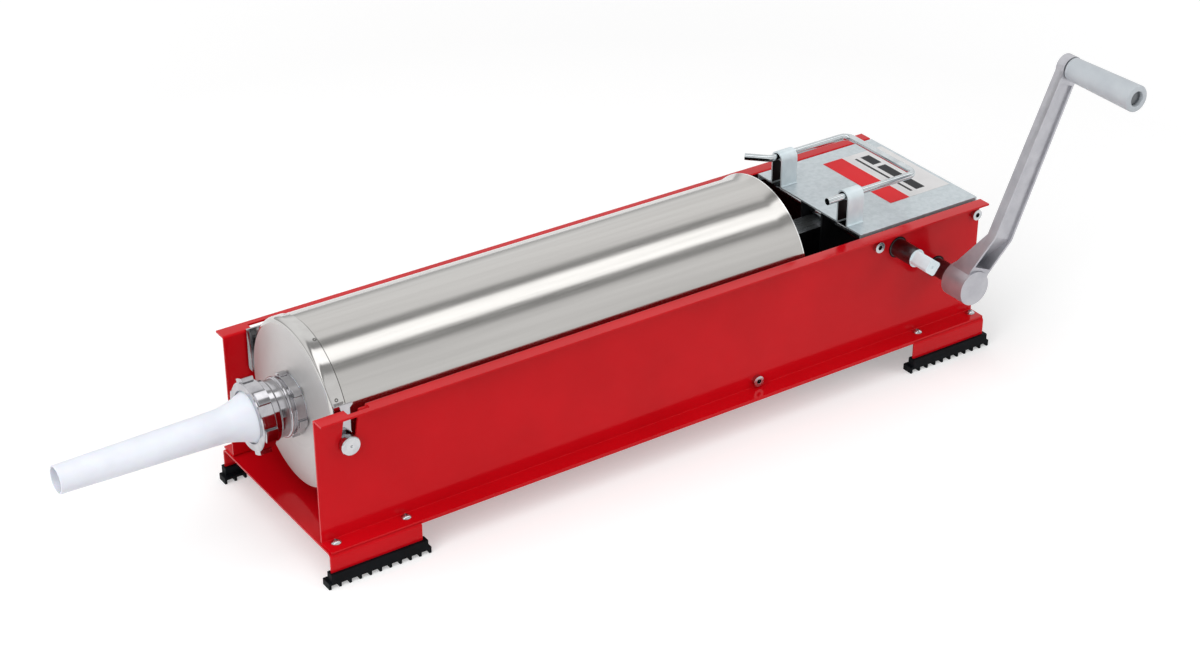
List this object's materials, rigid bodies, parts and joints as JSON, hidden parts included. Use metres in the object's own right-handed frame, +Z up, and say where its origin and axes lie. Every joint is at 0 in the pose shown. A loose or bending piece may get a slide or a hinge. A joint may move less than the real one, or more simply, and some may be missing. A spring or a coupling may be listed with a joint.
{
  "type": "horizontal sausage stuffer",
  "caption": "Horizontal crank-driven sausage stuffer: filling barrel in a sheet steel cradle, rack and piston, two-shaft gearbox, locking bail and screw-on nozzle.",
  "frame": {"origin": "on the plane the rubber feet stand on, under the middle of the steel frame, at the mount stand_centre", "axes": "+X from the nozzle towards the gearbox, along the barrel; +Y across the frame, away from the crank; +Z up"},
  "size_m": [1.07, 0.37, 0.3516],
  "materials": {
    "red_paint": "smooth gloss enamel",
    "foot_rubber": "matt moulded",
    "zinc_steel": "bright zinc plated",
    "dark_nylon": "matt moulded",
    "zinc_sheet": "bluish zinc plated sheet, faintly mottled",
    "label_film": "printed film, bare",
    "polished_steel": "polished",
    "white_plastic": "smooth satin food plastic",
    "stainless_steel": "finely brushed lengthways",
    "cast_aluminium": "turned satin",
    "gasket_rubber": "smooth",
    "gear_steel": "machined, lightly oiled",
    "crank_metal": "cast and tumbled satin",
    "grip_plastic": "smooth light grey, satin to glossy"
  },
  "bodies": {
    "frame": {"side_wall_near": "red_paint", "side_wall_far": "red_paint", "base_plate": "red_paint", "foot_front_near": "foot_rubber", "foot_front_far": "foot_rubber", "foot_rear_near": "foot_rubber", "foot_rear_far": "foot_rubber", "flange_screws": "zinc_steel", "flange_nuts": "zinc_steel", "side_screws": "zinc_steel", "tie_rods": "zinc_steel", "gearbox_plate_near": "zinc_steel", "gearbox_plate_far": "zinc_steel", "wall_bushes": "dark_nylon", "plate_bushes": "dark_nylon", "cover_plate": "zinc_sheet", "bail_bridges": "zinc_sheet", "label_panel": "label_film", "barrel_rest": "white_plastic", "barrel_tube": "stainless_steel", "end_cap": "stainless_steel", "trunnion_lugs": "stainless_steel", "trunnion_studs": "polished_steel", "spigot": "cast_aluminium", "spigot_gasket": "gasket_rubber", "spigot_back_nut": "cast_aluminium"},
    "crank_drive": {"main_shaft": "gear_steel", "main_shaft_keys": "gear_steel", "main_gear": "gear_steel", "rack_pinion": "gear_steel", "main_clip": "zinc_steel", "crank_arm": "crank_metal", "grip_spindle": "zinc_steel"},
    "grip": {"crank_grip": "grip_plastic"},
    "reduction_drive": {"reduction_shaft": "gear_steel", "reduction_key": "gear_steel", "reduction_clip": "zinc_steel", "reduction_pinion": "gear_steel"},
    "piston_rack": {"rack": "gear_steel", "piston_disc": "white_plastic", "piston_seal": "gasket_rubber", "piston_back_plate": "stainless_steel", "piston_bolt": "zinc_steel"},
    "bail": {"bail": "polished_steel"},
    "nozzle": {"funnel": "white_plastic"},
    "nozzle_nut": {"ring_nut": "cast_aluminium"}
  },
  "joints": [
    {"name": "crank_turn", "type": "hinge", "parent": "frame", "child": "crank_drive", "pos_m": [0.3435, 0, 0.108], "axis": [0, 1, 0], "range_deg": [0, 2250]},
    {"name": "piston_slide", "type": "slide", "parent": "frame", "child": "piston_rack", "axis": [1, 0, 0], "range_m": [0, 0.55]},
    {"name": "reduction_turn", "type": "hinge", "parent": "frame", "child": "reduction_drive", "pos_m": [0.2878, 0, 0.147], "axis": [0, 1, 0], "range_deg": [-8680, 0]},
    {"name": "grip_spin", "type": "hinge", "parent": "crank_drive", "child": "grip", "pos_m": [0.44279, 0, 0.33744], "axis": [0, 1, 0], "continuous": true},
    {"name": "bail_slide", "type": "slide", "parent": "frame", "child": "bail", "axis": [1, 0, 0], "range_m": [-0.07, 0]},
    {"name": "nozzle_slide", "type": "slide", "parent": "frame", "child": "nozzle", "axis": [-1, 0, 0], "range_m": [0, 0.009]},
    {"name": "nozzle_nut_turn", "type": "hinge", "parent": "nozzle", "child": "nozzle_nut", "pos_m": [-0.416, 0, 0.1362], "axis": [-1, 0, 0], "range_deg": [0, 1080]}
  ],
  "couplings": [
    {"joint": "piston_slide", "follows": "crank_turn", "m_per_rad": 0.014},
    {"joint": "reduction_turn", "follows": "crank_turn", "ratio": -3.8571},
    {"joint": "nozzle_slide", "follows": "nozzle_nut_turn", "m_per_rad": 0.00047746}
  ]
}
